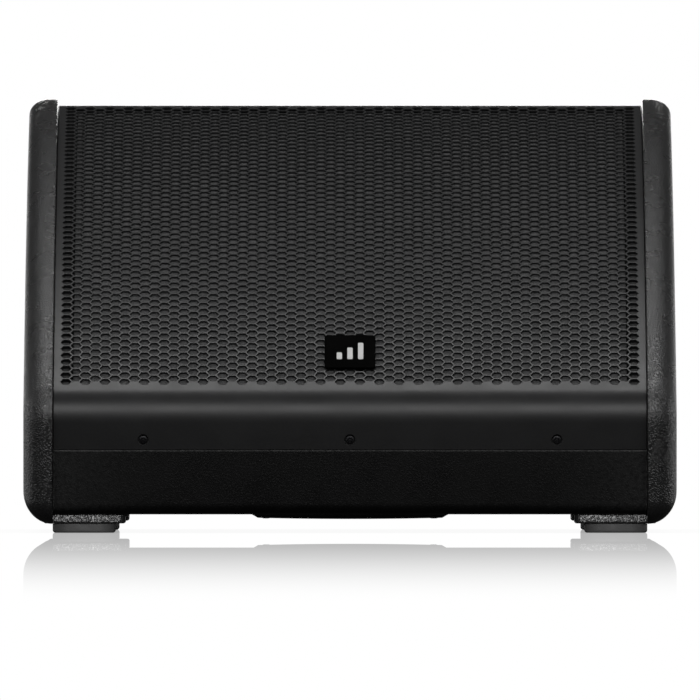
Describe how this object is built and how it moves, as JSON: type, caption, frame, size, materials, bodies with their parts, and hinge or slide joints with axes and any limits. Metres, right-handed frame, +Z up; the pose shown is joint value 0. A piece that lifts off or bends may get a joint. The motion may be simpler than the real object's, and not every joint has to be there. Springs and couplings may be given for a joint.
{
  "type": "stage monitor wedge",
  "caption": "Powered floor monitor wedge: curved steel grille between rounded moulded end cheeks, coaxial driver, rear amplifier panel and a hand-hold in the base.",
  "frame": {"origin": "centre of the whole object's footprint, on the floor plane under its rubber feet", "axes": "+X to the right as the listener sees the grille, +Y back from the grille to the amplifier panel, +Z up"},
  "size_m": [0.55, 0.526, 0.3691],
  "materials": {
    "textured_paint": "black structured paint on birch plywood",
    "moulded_plastic": "leather-grain moulded plastic, satin black",
    "grille_steel": "black powder coat on perforated steel",
    "foam": "black acoustic foam",
    "rubber": "satin black rubber",
    "badge_plastic": "polished black plastic",
    "screw_steel": "black zinc",
    "cast_aluminium": "black powder coated casting",
    "paper_cone": "coated paper pulp",
    "plated_steel": "zinc plated",
    "ferrite": "raw ferrite",
    "coil_winding": "copper-clad aluminium wire on a former",
    "copper": "wound and taped transformer",
    "plate_aluminium": "black anodised",
    "bare_aluminium": "extruded, bare",
    "circuit_board": "green solder mask",
    "gloss_plastic": "black plastic",
    "display_glass": "smoked display window",
    "wadding": "polyester wadding",
    "cable_jacket": "PVC jacket"
  },
  "bodies": {
    "cabinet": {"base_panel": "textured_paint", "front_panel": "textured_paint", "rear_panel": "textured_paint", "left_side_panel": "textured_paint", "right_side_panel": "textured_paint", "baffle_board": "textured_paint", "left_end_cheek": "moulded_plastic", "right_end_cheek": "moulded_plastic", "handle_cup": "moulded_plastic", "grille": "grille_steel", "grille_foam": "foam", "front_left_foot": "rubber", "front_right_foot": "rubber", "rear_left_foot": "rubber", "rear_right_foot": "rubber", "handle_grip": "rubber", "driver_gasket": "rubber", "cone_surround": "rubber", "badge": "badge_plastic", "grille_screw_left": "screw_steel", "grille_screw_middle": "screw_steel", "grille_screw_right": "screw_steel", "driver_basket": "cast_aluminium", "spider": "paper_cone", "top_plate": "plated_steel", "pole_piece": "plated_steel", "hf_front_plate": "plated_steel", "ferrite_magnet": "ferrite", "hf_magnet": "ferrite", "transformer": "copper", "amp_plate": "plate_aluminium", "heat_sink": "bare_aluminium", "amp_board": "circuit_board", "control_board": "circuit_board", "left_port_tube": "gloss_plastic", "right_port_tube": "gloss_plastic", "hf_horn": "gloss_plastic", "hf_phase_plug": "gloss_plastic", "hf_rear_cover": "gloss_plastic", "input_jack_1": "gloss_plastic", "input_jack_2": "gloss_plastic", "link_socket": "gloss_plastic", "power_inlet": "gloss_plastic", "switch_frame": "gloss_plastic", "display_window": "display_glass", "damping_pad": "wadding", "speaker_cable": "cable_jacket"},
    "cone_and_coil": {"woofer_cone": "paper_cone", "voice_coil": "coil_winding"},
    "horn_diaphragm": {"hf_diaphragm": "bare_aluminium"},
    "level_knob_left": {"level_knob_1": "gloss_plastic"},
    "level_knob_right": {"level_knob_2": "gloss_plastic"},
    "menu_encoder": {"menu_knob": "gloss_plastic"},
    "button_top": {"menu_button_1": "rubber"},
    "button_middle": {"menu_button_2": "rubber"},
    "button_bottom": {"menu_button_3": "rubber"},
    "rocker": {"power_rocker": "gloss_plastic"},
    "latch_left": {"jack_latch_1": "bare_aluminium"},
    "latch_right": {"jack_latch_2": "bare_aluminium"},
    "fuse_tray": {"fuse_drawer": "gloss_plastic"}
  },
  "joints": [
    {"name": "cone_travel", "type": "slide", "parent": "cabinet", "child": "cone_and_coil", "axis": [0, -0.4493, 0.8934], "range_m": [-0.006, 0.006], "stiffness_N_per_m": 2500, "deforming": ["cone_surround", "spider"]},
    {"name": "diaphragm_travel", "type": "slide", "parent": "cabinet", "child": "horn_diaphragm", "axis": [0, -0.4493, 0.8934], "range_m": [-0.0004, 0.0004], "stiffness_N_per_m": 400},
    {"name": "level_knob_left_turn", "type": "hinge", "parent": "cabinet", "child": "level_knob_left", "pos_m": [0.07, 0.24984, 0.205], "axis": [0, 1, 0], "range_deg": [-150, 150]},
    {"name": "level_knob_right_turn", "type": "hinge", "parent": "cabinet", "child": "level_knob_right", "pos_m": [0.022, 0.24984, 0.205], "axis": [0, 1, 0], "range_deg": [-150, 150]},
    {"name": "menu_encoder_turn", "type": "hinge", "parent": "cabinet", "child": "menu_encoder", "pos_m": [0.022, 0.24984, 0.262], "axis": [0, 1, 0], "continuous": true},
    {"name": "button_top_press", "type": "slide", "parent": "cabinet", "child": "button_top", "axis": [0, -1, 0], "range_m": [0, 0.001], "stiffness_N_per_m": 200, "springref_m": -0.001},
    {"name": "button_middle_press", "type": "slide", "parent": "cabinet", "child": "button_middle", "axis": [0, -1, 0], "range_m": [0, 0.001], "stiffness_N_per_m": 200, "springref_m": -0.001},
    {"name": "button_bottom_press", "type": "slide", "parent": "cabinet", "child": "button_bottom", "axis": [0, -1, 0], "range_m": [0, 0.001], "stiffness_N_per_m": 200, "springref_m": -0.001},
    {"name": "rocker_tilt", "type": "hinge", "parent": "cabinet", "child": "rocker", "pos_m": [-0.092, 0.25134, 0.232], "axis": [1, 0, 0], "range_deg": [0, 16]},
    {"name": "latch_left_press", "type": "slide", "parent": "cabinet", "child": "latch_left", "axis": [0, -1, 0], "range_m": [0, 0.002], "stiffness_N_per_m": 80, "springref_m": -0.002},
    {"name": "latch_right_press", "type": "slide", "parent": "cabinet", "child": "latch_right", "axis": [0, -1, 0], "range_m": [0, 0.002], "stiffness_N_per_m": 80, "springref_m": -0.002},
    {"name": "fuse_drawer_pull", "type": "slide", "parent": "cabinet", "child": "fuse_tray", "axis": [0, 1, 0], "range_m": [0, 0.014]}
  ]
}
